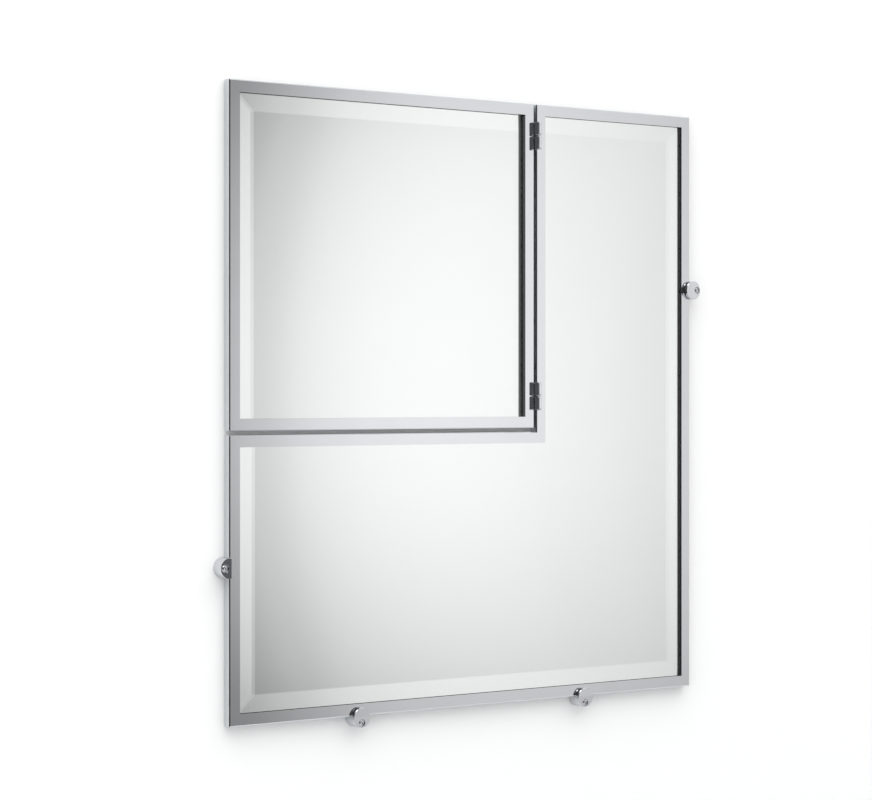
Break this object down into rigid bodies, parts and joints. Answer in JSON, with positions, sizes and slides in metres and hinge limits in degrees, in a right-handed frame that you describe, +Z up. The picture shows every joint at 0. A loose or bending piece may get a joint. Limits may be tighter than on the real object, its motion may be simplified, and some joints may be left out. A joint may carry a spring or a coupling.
{
  "type": "pivot wall mirror",
  "caption": "Framed bevelled wall mirror: a fixed L-shaped mirror held by wall clips, with a hinged rectangular mirror that fills its upper left corner and swings out.",
  "frame": {"origin": "on the wall's face, midway between the two lower wall screws", "axes": "+Z up, +Y into the wall, the mirror faces -Y, and +X is to the right as seen from the front"},
  "size_m": [0.7396, 0.0539, 0.7762],
  "materials": {
    "polished_chrome": "polished",
    "bevelled_glass": "polished, with a 25 mm bevel along the outer edges",
    "silver_coat": "silvered, painted grey at the back",
    "hardboard": "pressed fibre, smooth",
    "zinc_steel": "zinc plated",
    "nylon_pad": "natural nylon",
    "bumper_rubber": "moulded"
  },
  "bodies": {
    "fixed_frame": {"top_rail": "polished_chrome", "right_stile": "polished_chrome", "bottom_rail": "polished_chrome", "left_stile": "polished_chrome", "inner_rail": "polished_chrome", "hinge_post": "polished_chrome", "fixed_glass": "bevelled_glass", "fixed_silvering": "silver_coat", "fixed_backing_board": "hardboard", "fixed_corner_plates": "zinc_steel", "fixed_retainer_tabs": "zinc_steel", "fixed_back_screws": "zinc_steel", "upper_hinge_fixed_leaf": "polished_chrome", "upper_hinge_pin": "polished_chrome", "lower_hinge_fixed_leaf": "polished_chrome", "lower_hinge_pin": "polished_chrome", "fixed_leaf_screws": "polished_chrome", "left_clip": "polished_chrome", "right_clip": "polished_chrome", "lower_left_clip": "polished_chrome", "lower_right_clip": "polished_chrome", "clip_pads": "nylon_pad", "left_wall_screw": "polished_chrome", "right_wall_screw": "polished_chrome", "lower_left_wall_screw": "polished_chrome", "lower_right_wall_screw": "polished_chrome"},
    "door": {"door_top_rail": "polished_chrome", "door_hinge_stile": "polished_chrome", "door_bottom_rail": "polished_chrome", "door_free_stile": "polished_chrome", "door_glass": "bevelled_glass", "door_silvering": "silver_coat", "door_backing_board": "hardboard", "door_corner_plates": "zinc_steel", "door_retainer_tabs": "zinc_steel", "door_back_screws": "zinc_steel", "door_bumpers": "bumper_rubber", "upper_hinge_door_leaf": "polished_chrome", "lower_hinge_door_leaf": "polished_chrome", "door_leaf_screws": "polished_chrome"}
  },
  "joints": [
    {"name": "door_swing", "type": "hinge", "parent": "fixed_frame", "child": "door", "pos_m": [0.09565, -0.0191, 0.5635], "axis": [0, 0, 1], "range_deg": [0, 180]}
  ]
}
